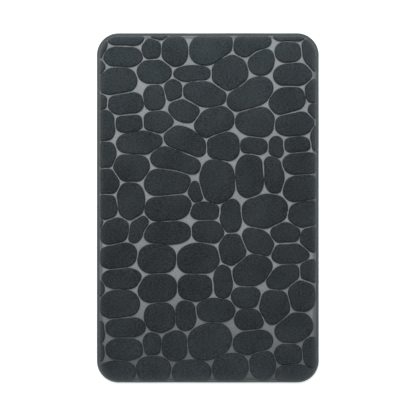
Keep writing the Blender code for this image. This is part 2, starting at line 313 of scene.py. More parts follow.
def grown_together(outlines, seam, most):
    """Outlines moved out along their normals until half a seam is left on each side between stones.

    The move is held to `most`, so neighbours close up to a thin seam where they run side by side, and the
    wide gaps where three or four stones meet stay open. It is negative, down to a millimetre, where stones
    are too close. A running mean of five points evens it out. The seam is up to two fifths or so wider or
    narrower from place to place.
    """
    tangent = np.roll(outlines, -1, axis=1) - np.roll(outlines, 1, axis=1)
    out = -1j * tangent / np.abs(tangent)
    room = (apart(outlines) - seam * (1 + 0.4 * ripple(outlines.real, outlines.imag, 0.06, 2))) / 2
    move = np.clip(room, -MM, most)
    move = sum(np.roll(move, turn, axis=1) for turn in range(-2, 3)) / 5
    return outlines + out * np.minimum(move, room)


def apart(outlines):
    """The distance from each point of the outlines to the nearest point of another stone's outline."""
    nearest = np.empty(outlines.shape)
    for k, ring in enumerate(outlines):
        others = np.delete(outlines, k, axis=0).ravel()
        nearest[k] = np.abs(ring[:, None] - others[None, :]).min(axis=1)
    return nearest


def softened(ring, around, share):
    """An outline walked in even steps, its finer waves faded out by a bell curve as wide as that share of the
    outline's length, with its area kept."""
    ring = np.append(ring, ring[0])
    walked = np.append(0, np.cumsum(np.abs(np.diff(ring))))
    at = np.linspace(0, walked[-1], around, endpoint=False)
    even = np.interp(at, walked, ring.real) + 1j * np.interp(at, walked, ring.imag)
    waves = np.fft.fftfreq(around, 1 / around)
    soft = np.fft.ifft(np.fft.fft(even) * np.exp(-2 * (math.pi * waves * share) ** 2))
    return soft.mean() + (soft - soft.mean()) * np.sqrt(area_in(even) / area_in(soft))


def held_in(outlines, inset, share, least=0.0):
    """Outlines whose points beyond the inset are drawn back to it, straight in from the edge, then softened.

    An outline that is left with no more than the `least` area is dropped.
    """
    depth, out_x, out_y = depth_in(outlines.real, outlines.imag)
    drawn = outlines - np.maximum(inset - depth, 0) * (out_x + 1j * out_y)
    kept = np.array([area_in(ring) for ring in drawn]) > least
    drawn, cut = drawn[kept], (depth < inset).any(axis=1)[kept]
    drawn[cut] = [softened(ring, outlines.shape[1], share) for ring in drawn[cut]]
    return drawn


def area_in(ring):
    """The area in an outline of x + iy points: half the sum of each point's cross product with the next."""
    return 0.5 * np.imag(np.conj(ring) * np.roll(ring, -1)).sum()


def stone_caps(outlines, foot, sunk, splay, top, edge, crown, steps, inner):
    """A rounded cap on each outline: a (stones, rings, around) grid, with how far up its wall each ring is.

    The foot splays out by `splay` and goes down by `sunk`. From it a quarter of an ellipse turns from upright
    at the outline to level at `edge` further in: in by edge * (1 - cos), up by sin. From there the rings go
    on by the shares `inner` of the way to the middle, where the crown is whole: it grows as
    1 - (1 - share of the way)^2. Each stone is a little higher or lower than the next, and leans.
    """
    r = np.random.default_rng(STONE_SEED)
    middle = outlines.mean(axis=1)[:, None, None]
    way = middle - outlines[:, None, :]
    reach = np.abs(way)
    foot, splay, edge = (np.broadcast_to(given, outlines.shape)[:, None, :] for given in (foot, splay, edge))
    edge = np.minimum(edge, 0.5 * reach)
    turn = np.linspace(0.08, math.pi / 2, steps)
    wall = (edge / reach) * (1 - np.cos(turn))[None, :, None]
    shoulder = wall[:, -1:, :]
    over_top = shoulder + (1 - shoulder) * np.array(inner)[None, :, None]
    share = np.concatenate([-splay / reach, -splay / reach, wall, over_top], axis=1)
    rise = np.concatenate([[0, 0], np.sin(turn), np.ones(len(inner))])[None, :, None]
    flat = outlines[:, None, :] + way * share
    stones = len(outlines)
    high = r.uniform(-0.35, 0.15, (stones, 1, 1)) * MM
    lean = r.normal(0, 0.010, (stones, 1, 1)) + 1j * r.normal(0, 0.010, (stones, 1, 1))
    tilt = np.real(np.conj(lean) * (flat - middle))
    z = foot + rise * (top - crown - foot + high + tilt) + crown * (1 - (1 - share) ** 2) * (rise > 0)
    z[:, 0] -= sunk
    return np.stack([flat.real, flat.imag, z], axis=-1), np.broadcast_to(rise, flat.shape)


def pressed_height(x, y):
    """The pressed ground's height: level, and down to the hem beside the tape by a quarter of an ellipse."""
    _, hem_top, _, pressed, _, _ = cloth_levels()
    low = hem_top - UNDER_TAPE
    across = np.clip((depth_in(x, y)[0] - hem_insets()[0]) / bpy.context.scene.bath_mat_sizes.rim_run, 0, 1)
    return low + (pressed - low) * np.sqrt(1 - (1 - across) ** 2)


def unevenness(points):
    """How far the pressed ground lies off its level: a gentle ripple that dies out towards the tape."""
    sizes = bpy.context.scene.bath_mat_sizes
    x, y = points[..., 0], points[..., 1]
    free = np.clip((depth_in(x, y)[0] - sizes.tape_width - sizes.rim_run) / (4 * MM), 0, 1)
    return free * 0.12 * MM * ripple(x, y, 45 * MM, 3)


def pressed_ground():
    """The pressed cloth as a profile carried round the mat, in a grid of rings.

    The profile goes out along the lining, steps down to the hem, turns round the hem's edge inside the tape
    and comes back. Beside the tape it climbs the rim as a quarter of an ellipse and goes in over the ground.
    """
    sizes = bpy.context.scene.bath_mat_sizes
    hem_low, hem_top, lining, pressed, _, _ = cloth_levels()
    low = hem_top - UNDER_TAPE
    start = hem_insets()[0]
    edge, step, bevel = HALF_WIDTH - SCRIM_HIGH[0], start + 2.2 * MM, 0.3 * MM
    hem = np.array([
        (step + MM, lining), (step, lining - 0.6 * MM), (step, hem_low), (edge + MM, hem_low),
        (edge + bevel, hem_low + 0.2 * MM), (edge, (hem_low + hem_top) / 2), (edge + bevel, hem_top - bevel),
        (edge + MM, low), (start - 2 * MM, low),
    ])
    roll = np.linspace(0, math.pi / 2, 9)
    inner = np.array([13, 16, 20, 26, 33, 42, 53, 66, 82, 100, 120, 142, 166, 192, 220, 248]) * MM
    insets = np.concatenate([inner[::-1], hem[:, 0], start + sizes.rim_run * (1 - np.cos(roll)), inner])
    heights = np.concatenate([
        np.full(len(inner), lining), hem[:, 1], low + (pressed - low) * np.sin(roll),
        np.full(len(inner), pressed),
    ])
    ground = carried_round(insets, heights, 480)
    ground[..., 2] += unevenness(ground)
    return ground


def pile_stones():
    """A cap of standing pile on each outline, with how far up its wall each point is.

    Beside the tape a stone's edge is rounded more widely and its foot doesn't splay. The two rings of the
    foot follow the ground, the first sunk well into it and the second hardly.
    """
    sizes = bpy.context.scene.bath_mat_sizes
    top = cloth_levels()[-1]
    hem = hem_insets()[1]
    outlines = held_in(stone_outlines(60), hem, sizes.roundness / 4)
    x, y = outlines.real, outlines.imag
    from_hem = depth_in(x, y)[0] - hem
    edge = sizes.stone_edge + sizes.hem_slope * np.clip(1 - from_hem / (2 * MM), 0, 1)
    splay = np.clip((apart(outlines) - sizes.seam_width) / 2, LEAST_SPLAY, sizes.foot_splay)
    splay = LEAST_SPLAY + (splay - LEAST_SPLAY) * np.clip(from_hem / (6 * MM), 0, 1)
    inner = (0.16, 0.36, 0.6, 0.85)
    caps, rise = stone_caps(
        outlines, pressed_height(x, y), PILE_SUNK, splay, top, edge, sizes.stone_crown, 6, inner
    )
    caps[..., 2] += rise * 0.16 * MM * ripple(caps[..., 0], caps[..., 1], 22 * MM, 8)
    foot = caps[:, :2]
    sunk = np.array([PILE_SUNK, 0.08 * MM])[None, :, None]
    foot[..., 2] = pressed_height(foot[..., 0], foot[..., 1]) + unevenness(foot) - sunk
    return caps, rise


def pile_cover():
    """The face cloth: the pressed ground, with a pile stone on each outline, closed by a fan at its middle.

    Three numbers go to each point. `standing` is how far up a stone's wall it is, `near_hem` fades out as
    exp(-d / 4 mm) with the distance d from the tape, and the third is a bell 4 mm from the tape, which marks
    where painted shade darkens the pressed cloth.
    """
    colours = bpy.context.scene.bath_mat_colours
    ground = pressed_ground()
    caps, rise = pile_stones()
    middles = caps[:, -1].mean(axis=1)
    ground_numbers = numbered(ground)
    cap_numbers = numbered(caps, ground_numbers.size)
    middle_numbers = numbered(middles, ground_numbers.size + cap_numbers.size)
    last = cap_numbers[:, -1]
    to_middle = np.broadcast_to(middle_numbers[:, None], last.shape)
    fans = np.stack([last, np.roll(last, -1, axis=1), to_middle], axis=-1).reshape(-1, 3)
    ground_faces = [quads(ground_numbers), *lids(ground_numbers)]
    faces = [*ground_faces, quads(cap_numbers), lids(cap_numbers)[0], fans]
    finish_of = np.concatenate([np.full(len(f), k >= len(ground_faces)) for k, f in enumerate(faces)])
    points = np.concatenate([ground.reshape(-1, 3), caps.reshape(-1, 3), middles])
    from_tape = depth_in(points[:, 0], points[:, 1])[0] - hem_insets()[0]
    near_hem = np.exp(-np.maximum(from_tape, 0) / (4 * MM))
    standing = np.concatenate([np.zeros(ground_numbers.size), rise.ravel(), np.ones(len(middles))])
    values = {
        "standing": 1 - (1 - standing) * (1 - 0.65 * near_hem),
        "near_hem": near_hem,
        # A bell 4 mm from the tape: where painted shade darkens the pressed cloth.
        "trough_shade": np.exp(-(((from_tape - 4 * MM) / (3 * MM)) ** 2)),
    }
    finishes = [
        pressed_cloth_finish(colours.pressed),
        stone_pile_finish(colours.pile, colours.pile_head_lit_foot_pale, colours.pressed),
    ]
    piece = new_piece("pile_cover", points, faces, finishes, "face_fabric", finish_of, values)
    return piece


def foam_pad():
    """The foam core: a slab carried round under the cloth, with a lower, smaller cap in each pile stone.

    The slab's upper edge is a quarter circle. The slivers of stones that the rim cuts off have no cap.
    """
    sizes, colours = bpy.context.scene.bath_mat_sizes, bpy.context.scene.bath_mat_colours
    _, _, lining, _, pocket, _ = cloth_levels()
    edge, low, high = HALF_WIDTH - FOAM_HIGH[0], FOAM_LOW[2], lining - 0.3 * MM
    inner = np.array([15, 22, 32, 46, 66, 92, 124, 162, 206, 246]) * MM
    roll = np.linspace(0, math.pi / 2, 5)
    round_off = 1.2 * MM
    insets = np.concatenate([inner[::-1], [edge + MM, edge], edge + round_off * (1 - np.cos(roll)), inner])
    heights = np.concatenate([
        np.full(len(inner) + 1, low), [low + 0.6 * MM], high - round_off + round_off * np.sin(roll),
        np.full(len(inner), high),
    ])
    slab = carried_round(insets, heights, 240)
    drawn_in, least = 3.6 * MM, 150 * MM**2
    outlines = held_in(stone_outlines(24, grow=-drawn_in), edge + 2.6 * MM, sizes.roundness / 4, least)
    sunk, rounded, crown, steps, top = 0.9 * MM, 2.4 * MM, 0.6 * MM, 4, pocket - 1.1 * MM
    caps, _ = stone_caps(
        outlines, high - 0.1 * MM, sunk, LEAST_SPLAY, top, rounded, crown, steps, (0.3, 0.7)
    )
    slab_numbers = numbered(slab)
    cap_numbers = numbered(caps, slab_numbers.size)
    faces = [quads(slab_numbers), *lids(slab_numbers), quads(cap_numbers), *lids(cap_numbers)]
    points = np.concatenate([slab.reshape(-1, 3), caps.reshape(-1, 3)])
    piece = new_piece("foam_pad", points, faces, [foam_finish(colours.foam)], "foam_core")
    return piece


# ---------------------------------------------------------------- the edge


def tape_profile():
    """The folded tape's section as insets and heights, and where it is the outside of the upper lap.

    The outside of the C is flat on each face and half an ellipse round the edge, and the inside is the same
    drawn in by the tape's thickness. The upper lap is plump between the edge and the stitch line, as half a
    sine wave, and the thread pulls it down at the stitch line, as a bell curve.
    """
    sizes = bpy.context.scene.bath_mat_sizes
    width, thick = sizes.tape_width, sizes.tape_thickness
    low, high = TAPE_LOW[2], TAPE_HIGH[2]
    turn = np.linspace(-math.pi / 2, math.pi / 2, 15)
    bulge, middle, tall = 2.5 * MM, (low + high) / 2, (high - low) / 2
    lap = np.linspace(width, bulge, 8)[:-1]
    inner_lap = np.linspace(width, bulge, 4)[:-1]
    inner_turn = turn[::-2]
    insets = np.concatenate([
        lap, bulge * (1 - np.cos(turn)), lap[::-1],
        inner_lap, thick + (bulge - thick) * (1 - np.cos(inner_turn)), inner_lap[::-1],
    ])
    heights = np.concatenate([
        np.full(len(lap), low), middle + tall * np.sin(turn), np.full(len(lap), high),
        np.full(len(inner_lap), high - thick), middle + (tall - thick) * np.sin(inner_turn),
        np.full(len(inner_lap), low + thick),
    ])
    outside = np.arange(len(insets)) < 2 * len(lap) + len(turn)
    upper = (heights > middle) & outside
    stitch_line = HALF_WIDTH - NEEDLE_HIGH[0]
    plump = 0.32 * MM * np.sin(math.pi * np.clip(insets / stitch_line, 0, 1))
    pulled = 0.22 * MM * np.exp(-(((insets - stitch_line) / (0.5 * MM)) ** 2))
    return insets, heights + upper * (plump - pulled), upper


def binding_tape():
    """The knitted tape, folded over the edge: a C-shaped loop of cloth carried round the mat.

    Its outline wanders in by a tenth of a millimetre or two, and the upper lap ripples by a tenth. Its flat
    map has the distance walked round the mat along X and the distance along the section along Y, in metres.
    """
    sizes, colours = bpy.context.scene.bath_mat_sizes, bpy.context.scene.bath_mat_colours
    insets, heights, upper = tape_profile()
    around = 1080
    _, _, _, at, walk = edge_walk(around)
    wander = np.abs(0.10 * MM * (1 + ripple(at / walk * TAU * 0.4, 0 * at, 120 * MM, 12)))
    at_edge = insets < 5 * MM
    tape = carried_round(insets[:, None] + wander * at_edge[:, None], heights, around)
    tape[..., 2] += upper[:, None] * 0.10 * MM * ripple(tape[..., 0], tape[..., 1], 21 * MM, 14)
    span = np.append(0, np.cumsum(np.hypot(np.diff(insets), np.diff(heights))))
    span = np.append(span, span[-1] + sizes.tape_thickness)
    here, up = np.meshgrid(at, span[:-1])
    there, down = np.meshgrid(at + walk / around, span[1:])
    flat_map = np.stack([
        np.stack(corner, axis=-1) for corner in ((here, up), (there, up), (there, down), (here, down))
    ], axis=-2)
    faces, finishes = [quads(numbered(tape), close_rings=True)], [tape_finish(colours.tape)]
    return new_piece(
        "binding_tape", tape.reshape(-1, 3), faces, finishes, "edge_binding", flat_map=flat_map
    )


def stitch_row(name, node, height, side, colour_of):
    """A row of stitches round the mat, each a thread arched over the tape.

    A stitch is a six-sided tube along the seam, leaning a few degrees. At the share s of its half length
    from its middle, it has sunk by s^2 of its depth and thinned to sqrt(1 - s^4 * 0.8) of its thickness.
    side is 1 where the thread arches up and -1 where it arches down.
    """
    sizes = bpy.context.scene.bath_mat_sizes
    inset = HALF_WIDTH - NEEDLE_HIGH[0] + sizes.thread_thickness / 2
    walk = edge_walk(8)[-1]
    count = round(walk / sizes.stitch_pitch)
    angle = edge_walk(count)[2]
    seam = carried_round([inset], [height], count)[0][:, None, None, :]
    half, depth, lean = 0.46 * sizes.stitch_pitch, 0.5 * MM, math.radians(7)
    s = np.linspace(-1, 1, 7)[None, :, None]
    turn = np.linspace(0, TAU, 6, endpoint=False)[None, None, :]
    out = np.stack([np.cos(angle), np.sin(angle)], axis=-1)[:, None, None, :]
    ahead = np.stack([-np.sin(angle), np.cos(angle)], axis=-1)[:, None, None, :]
    along = math.cos(lean) * ahead + math.sin(lean) * out
    aside = math.cos(lean) * out - math.sin(lean) * ahead
    thick = 0.5 * sizes.thread_thickness * np.sqrt(1 - 0.8 * s**4)
    xy = seam[..., :2] + (half * s)[..., None] * along + (thick * np.cos(turn))[..., None] * aside
    z = seam[..., 2] - side * depth * s**2 + thick * np.sin(turn)
    points = np.concatenate([xy, z[..., None]], axis=-1)
    numbers = numbered(points)
    faces = [quads(numbers)[:, ::-1], *(lid[:, ::-1] for lid in lids(numbers))]
    return new_piece(name, points.reshape(-1, 3), faces, [thread_finish(name + "_finish", colour_of)], node)


# ---------------------------------------------------------------- the back


def scrim_cloth():
    """The woven backing: a thin cloth carried round, level but for a slight ripple away from its edge."""
    colours = bpy.context.scene.bath_mat_colours
    edge, low, high = HALF_WIDTH - SCRIM_HIGH[0], SCRIM_LOW[2], SCRIM_HIGH[2]
    inner = np.array([5, 9, 14, 20, 28, 38, 50, 64, 80, 98, 118, 140, 164, 190, 218, 248]) * MM
    insets = np.concatenate([inner[::-1], [edge + 0.2 * MM, edge, edge + 0.2 * MM], inner])
    face = len(inner) + 1
    heights = np.concatenate([np.full(face, low), [(low + high) / 2], np.full(face, high)])
    cloth = carried_round(insets, heights, 400)
    free = np.clip((insets[:, None] - 10 * MM) / (20 * MM), 0, 1)
    cloth[..., 2] += 0.05 * MM * free * ripple(cloth[..., 0], cloth[..., 1], 60 * MM, 21)
    numbers = numbered(cloth)
    faces, finishes = [quads(numbers), *lids(numbers)], [scrim_finish(colours.scrim)]
    piece = new_piece("scrim_cloth", cloth.reshape(-1, 3), faces, finishes, "backing_scrim")
    return piece


def grip_dots():
    """Staggered rows of rubber dots under the scrim, in three rings that widen from foot to root.

    Odd rows are moved half a pitch along, and rows lie sqrt(3)/2 of a pitch apart. The label's patch and the
    tape's width are left bare.
    """
    sizes, colours = bpy.context.scene.bath_mat_sizes, bpy.context.scene.bath_mat_colours
    pitch, half = sizes.dot_pitch, sizes.dot_width / 2
    rows = np.arange(-60, 61)[:, None]
    columns = np.arange(-40, 41)[None, :]
    x, y = np.broadcast_arrays(pitch * (columns + 0.5 * (rows % 2)), pitch * math.sqrt(0.75) * rows)
    margin = half + 1.5 * MM
    near_label = (
        (x > LABEL_LOW[0] - margin) & (x < LABEL_HIGH[0] + margin)
        & (y > LABEL_LOW[1] - margin) & (y < LABEL_HIGH[1] + margin)
    )
    inside = depth_in(x, y)[0] > HALF_WIDTH - GRIP_HIGH[0] + half + 0.3 * MM
    x, y = (at[inside & ~near_label][:, None, None] for at in (x, y))
    turn = np.linspace(0, TAU, 8, endpoint=False)
    out = half * np.array([0.62, 0.9, 1.0])[None, :, None]
    foot, root = GRIP_LOW[2], SCRIM_LOW[2] - 0.06 * MM
    z = np.array([foot, foot + 0.7 * MM, root])[None, :, None]
    points = np.stack(np.broadcast_arrays(x + out * np.cos(turn), y + out * np.sin(turn), z), axis=-1)
    numbers = numbered(points)
    faces = [quads(numbers), *lids(numbers)]
    return new_piece("grip_dots", points.reshape(-1, 3), faces, [grip_finish(colours.grip)], "grip_coating")


def care_label():
    """The blank satin label: a thin flat loop carried along its length, whose free end lifts and twists.

    At the share s of its length, its middle has risen by half a millimetre times s^2, and its side edges by a
    quarter of one times s more or less. Each side edge comes to a point halfway through the cloth.
    """
    colours = bpy.context.scene.bath_mat_colours
    middle, size = (LABEL_LOW + LABEL_HIGH) / 2, LABEL_HIGH - LABEL_LOW
    lift, twist, across = 0.5 * MM, 0.25 * MM, 11
    side = np.concatenate([np.linspace(-1, 1, across), np.linspace(1, -1, across)])
    side[[0, across - 1, across, -1]] *= 0.995
    up = np.repeat([-0.5, 0.5], across)
    side = np.insert(side, [across, 2 * across], [1, -1])
    up = np.insert(up, [across, 2 * across], [0, 0])
    s = np.linspace(0, 1, 25)[:, None]
    x = middle[0] + 0.5 * size[0] * side
    y = LABEL_LOW[1] + size[1] * s
    z = middle[2] + size[2] * up + lift * s**2 + twist * s * side
    points = np.stack(np.broadcast_arrays(x, y, z), axis=-1)
    numbers = numbered(points)
    faces = [quads(numbers)[:, ::-1], *(lid[:, ::-1] for lid in lids(numbers))]
    finishes = [label_finish(colours.label)]
    piece = new_piece("satin_label", points.reshape(-1, 3), faces, finishes, "care_label")
    return piece


# ---------------------------------------------------------------- finishes


def times(colour_given, share):
    """A colour with each channel multiplied by a share, so darker under 1 and lighter over it."""
    return tuple(share * c for c in colour_given)


class Finish:
    """A finish being mixed: one Principled shader, with textures in the mat's own coordinates, in metres."""

    def __init__(self, name, roughness, gloss, sheen=0.0, sheen_roughness=0.45):
        self.material = bpy.data.materials.new(name)
        self.material.use_nodes = True
        self.tree = self.material.node_tree
        self.shader = self.tree.nodes["Principled BSDF"]
        self.shader.inputs["Roughness"].default_value = roughness
        self.shader.inputs["Specular IOR Level"].default_value = gloss
        self.shader.inputs["Sheen Weight"].default_value = sheen
        self.shader.inputs["Sheen Roughness"].default_value = sheen_roughness
        self.place = self.tree.nodes.new("ShaderNodeTexCoord").outputs["Object"]

    def node(self, kind, inputs, output=0, **settings):
        """A node of that kind, each input set to a number or linked to an output, by its number or name."""
        made = self.tree.nodes.new(kind)
        for label, value in settings.items():
            setattr(made, label, value)
        for label, value in inputs.items():
            if isinstance(value, bpy.types.NodeSocket):
                self.tree.links.new(value, made.inputs[label])
            else:
                made.inputs[label].default_value = value
        return made.outputs[output]

    def sized(self, size, stretch=(1, 1, 1), place=None):
        """Coordinates in which a pattern repeats about every `size` metres, longer where stretched."""
        scale = tuple(1 / (size * s) for s in stretch)
        return self.node("ShaderNodeMapping", {"Vector": place or self.place, "Scale": scale})

    def noise(self, size, stretch=(1, 1, 1), detail=2.0, rough=0.5, place=None):
        """Soft patches about `size` metres across, longer where stretched, with finer ones over them."""
        vector = self.sized(size, stretch, place)
        inputs = {"Vector": vector, "Scale": 1.0, "Detail": detail, "Roughness": rough}
        return self.node("ShaderNodeTexNoise", inputs)

    def ribs(self, size, direction, place=None, bent=0.0):
        """Even rounded ribs, one every `size` metres along the X or Y direction."""
        one_a_unit = math.pi / 10
        inputs = {
            "Vector": self.sized(size, place=place), "Scale": one_a_unit, "Distortion": bent, "Detail": 1.0,
            "Detail Scale": 1.5,
        }
        settings = {"wave_type": "BANDS", "bands_direction": direction, "wave_profile": "SIN"}
        return self.node("ShaderNodeTexWave", inputs, output="Fac", **settings)

    def along(self, place=None):
        """How far along the mat a point is, or across the cloth in a flat map: the coordinates' Y."""
        return self.node("ShaderNodeSeparateXYZ", {0: place or self.place}, output=1)

    def value_of(self, name):
        """The number that the mesh holds at its points under that name."""
        return self.node("ShaderNodeAttribute", {}, output="Fac", attribute_name=name)

    def combined(self, operation, a, b):
        """Two values added, multiplied or raised one to the other."""
        return self.node("ShaderNodeMath", {0: a, 1: b}, operation=operation)

    def sum(self, *parts):
        """The sum of (weight, value) pairs."""
        weighed = [self.combined("MULTIPLY", value, weight) for weight, value in parts]
        return functools.reduce(functools.partial(self.combined, "ADD"), weighed)

    def spread(self, value, low, high, new_low, new_high):
        """`value` from low..high carried to new_low..new_high, and held there."""
        inputs = {"Value": value, "From Min": low, "From Max": high, "To Min": new_low, "To Max": new_high}
        return self.node("ShaderNodeMapRange", inputs)

    def shade(self, amount, dark, light):
        """A colour from dark to light as amount goes from 0 to 1; either may be a colour already made."""
        dark, light = (c if isinstance(c, bpy.types.NodeSocket) else (*c, 1.0) for c in (dark, light))
        factor, first, second, mixed = 0, 6, 7, 2
        inputs = {factor: amount, first: dark, second: light}
        return self.node("ShaderNodeMix", inputs, output=mixed, data_type="RGBA")

    def tones(self, value, low, high, colour_given, dark, light):
        """A colour that goes from `dark` to `light` times itself as the value goes from low to high."""
        amount = self.spread(value, low, high, 0.0, 1.0)
        return self.shade(amount, times(colour_given, dark), times(colour_given, light))

    def paint(self, colour_made, roughness=None, height=None, deep=0.3 * MM, strength=0.6):
        """Joins the colour, the roughness and the relief to the shader."""
        self.tree.links.new(colour_made, self.shader.inputs["Base Color"])
        if roughness is not None:
            self.tree.links.new(roughness, self.shader.inputs["Roughness"])
        if height is not None:
            normal = self.node("ShaderNodeBump", {"Height": height, "Distance": deep, "Strength": strength})
            self.tree.links.new(normal, self.shader.inputs["Normal"])
        return self.material


def stone_pile_finish(pile, head_lit_foot_pale_pile, pressed):
    """Short dense plush: dark, with streaks of nap brushed across the mat, patches that lean, and fibre ends.

    It has painted light towards the head end of the mat and is lighter towards the foot end. Beside the tape
    and at the foot of each stone's wall it pales towards the pressed cloth.
    """
    f = Finish("stone_pile", 0.92, gloss=0.08, sheen=0.05)
    patch = f.noise(75 * MM)
    streak = f.noise(2.4 * MM, (1.9, 0.75, 1.0), detail=4.0, rough=0.62)
    fibre = f.noise(1.3 * MM, (1.4, 1.0, 1.0), detail=1.0)
    lean = f.sum((0.16, patch), (0.58, streak), (0.26, fibre))
    # Painted light: the pile is mixed towards the lighter tone at the head end, where the lamp shines; at the
    # foot end the same tone is only a lighter colour.
    lamplit_head = f.spread(f.along(), 0.06, 0.38, 0.0, 1.0)
    foot_end = f.spread(f.along(), -0.38, -0.24, 1.0, 0.0)
    nap = f.shade(
        f.sum((1.0, lamplit_head), (0.95, foot_end)),
        f.tones(lean, 0.43, 0.57, pile, 0.55, 1.52),
        f.tones(lean, 0.43, 0.57, head_lit_foot_pale_pile, 0.60, 1.46),
    )
    # The pile pales towards the pressed colour beside the tape.
    paled_by_tape = f.shade(f.spread(f.value_of("near_hem"), 0.0, 1.0, 0.0, 0.22), nap, pressed)
    foot = f.combined("POWER", f.spread(f.value_of("standing"), 0.0, 0.4, 0.96, 0.0), 2.5)
    relief = f.sum((0.55, streak), (0.45, fibre))
    return f.paint(f.shade(foot, paled_by_tape, pressed), f.spread(fibre, 0.3, 0.7, 0.84, 1.0), relief, 0.7 * MM, 0.7)


def pressed_cloth_finish(pressed):
    """Plush pressed flat by the embossing plate: pale, a little shiny, with a fine weave and a few bruises.

    It has painted shade, darkening it towards the foot end and in the trough where the cloth rolls down to
    the tape.
    """
    f = Finish("pressed_cloth", 0.7, gloss=0.3, sheen=0.15, sheen_roughness=0.4)
    patch = f.noise(110 * MM)
    bruise = f.noise(4.2 * MM, detail=3.0, rough=0.62)
    weave = f.sum((0.5, f.ribs(1.1 * MM, "X")), (0.5, f.ribs(1.1 * MM, "Y")))
    mixed = f.sum((0.30, patch), (0.54, bruise), (0.16, weave))
    evenly = f.tones(mixed, 0.34, 0.66, pressed, 0.68, 1.26)
    # Painted shade: the pressed colour at a quarter, laid towards the foot end and in the trough beside the
    # tape.
    shade_tone = times(pressed, 0.25)
    end_shaded = f.shade(f.spread(f.along(), -0.38, -0.16, 0.80, 0.0), evenly, shade_tone)
    # Painted shade in the trough beside the tape, where the cloth rolls down between the tape and the stones.
    rim_shaded = f.shade(f.spread(f.value_of("trough_shade"), 0.0, 1.0, 0.0, 0.75), end_shaded, shade_tone)
    return f.paint(rim_shaded, f.spread(bruise, 0.3, 0.7, 0.62, 0.8), weave, 0.25 * MM, 0.5)


def foam_finish(foam):
    """Slow-spring foam: cream, mottled, with open cells just under a millimetre across."""
    f = Finish("foam", 0.9, gloss=0.2)
    cells = f.node("ShaderNodeTexVoronoi", {"Vector": f.sized(0.8 * MM), "Scale": 1.0}, output="Distance")
    patch = f.noise(30 * MM)
    made = f.tones(f.sum((0.6, cells), (0.4, patch)), 0.2, 0.8, foam, 1.1, 0.75)
    return f.paint(made, f.spread(patch, 0.3, 0.7, 0.8, 1.0), cells, 0.3 * MM, 0.5)


def tape_finish(tape):
    """Knitted polyester tape: cross ribs from edge to edge and uneven dye.

    It has a painted highlight round the upper, outer part of its folded edge, from about 7 to 12 mm across
    its flat map, and is paler towards the foot end.
    """
    f = Finish("knitted_tape", 0.78, gloss=0.2, sheen=0.15, sheen_roughness=0.4)
    on_tape = f.node("ShaderNodeTexCoord", {}, output="UV")
    rib = f.ribs(0.9 * MM, "X", on_tape, bent=0.4)
    course = f.ribs(0.6 * MM, "Y", on_tape)
    patch = f.noise(25 * MM, place=on_tape)
    fuzz = f.noise(1.2 * MM, place=on_tape)
    mixed = f.sum((0.22, rib), (0.10, course), (0.40, patch), (0.28, fuzz))
    dyed = f.tones(mixed, 0.34, 0.66, tape, 0.78, 1.24)
    across = f.along(on_tape)
    # Painted highlight round the upper, outer part of the folded edge, where the lamp catches it.
    edge_highlight = f.combined(
        "MULTIPLY",
        f.spread(across, 6.5 * MM, 8.5 * MM, 0.0, 1.0),
        f.spread(across, 10.2 * MM, 12.2 * MM, 1.0, 0.0),
    )
    foot_end = f.spread(f.along(), -0.40, -0.34, 1.0, 0.0)
    # The painted highlight, and a paler tone towards the foot end.
    made = f.shade(f.sum((0.75, edge_highlight), (0.35, foot_end)), dyed, times(tape, 1.75))
    knit = f.sum((0.6, rib), (0.4, course))
    return f.paint(made, f.spread(fuzz, 0.3, 0.7, 0.64, 0.82), knit, 0.2 * MM, 0.6)


def thread_finish(name, thread):
    """Spun polyester thread: fine twisted plies, a little lustre."""
    f = Finish(name, 0.5, gloss=0.4, sheen=0.1)
    ply = f.noise(0.3 * MM, detail=1.0)
    patch = f.noise(20 * MM)
    made = f.tones(f.sum((0.5, ply), (0.5, patch)), 0.35, 0.65, thread, 0.75, 1.2)
    return f.paint(made, f.spread(patch, 0.3, 0.7, 0.45, 0.6), ply, 0.1 * MM, 0.5)


def scrim_finish(scrim):
    """Plain woven backing cloth: flat yarns over and under each other, with darker holes between."""
    f = Finish("scrim_weave", 0.85, gloss=0.2)
    weft, warp = f.ribs(1.6 * MM, "X", bent=0.3), f.ribs(1.6 * MM, "Y", bent=0.3)
    slub = f.noise(9 * MM, (2.5, 1.0, 1.0))
    weave = f.combined("MULTIPLY", weft, warp)
    made = f.tones(f.sum((0.6, weave), (0.4, slub)), 0.15, 0.6, scrim, 0.55, 1.35)
    return f.paint(made, f.spread(slub, 0.3, 0.7, 0.78, 0.92), weave, 0.3 * MM, 0.8)


def grip_finish(grip):
    """Soft rubber dots: dark, faintly glossy, dusty in patches."""
    f = Finish("grip_rubber", 0.5, gloss=0.45)
    dust = f.noise(18 * MM, detail=3.0)
    skin = f.noise(0.9 * MM)
    made = f.tones(f.sum((0.6, dust), (0.4, skin)), 0.35, 0.65, grip, 0.8, 1.5)
    return f.paint(made, f.spread(dust, 0.3, 0.7, 0.4, 0.65), skin, 0.1 * MM, 0.4)


def label_finish(label):
    """Blank woven satin: long floats along its length, a soft shine."""
    f = Finish("label_satin", 0.42, gloss=0.5, sheen=0.15)
    floats = f.noise(0.6 * MM, (1.0, 8.0, 1.0))
    patch = f.noise(12 * MM)
    made = f.tones(f.sum((0.5, floats), (0.5, patch)), 0.35, 0.65, label, 0.86, 1.04)
    return f.paint(made, f.spread(floats, 0.3, 0.7, 0.36, 0.5), floats, 0.08 * MM, 0.5)


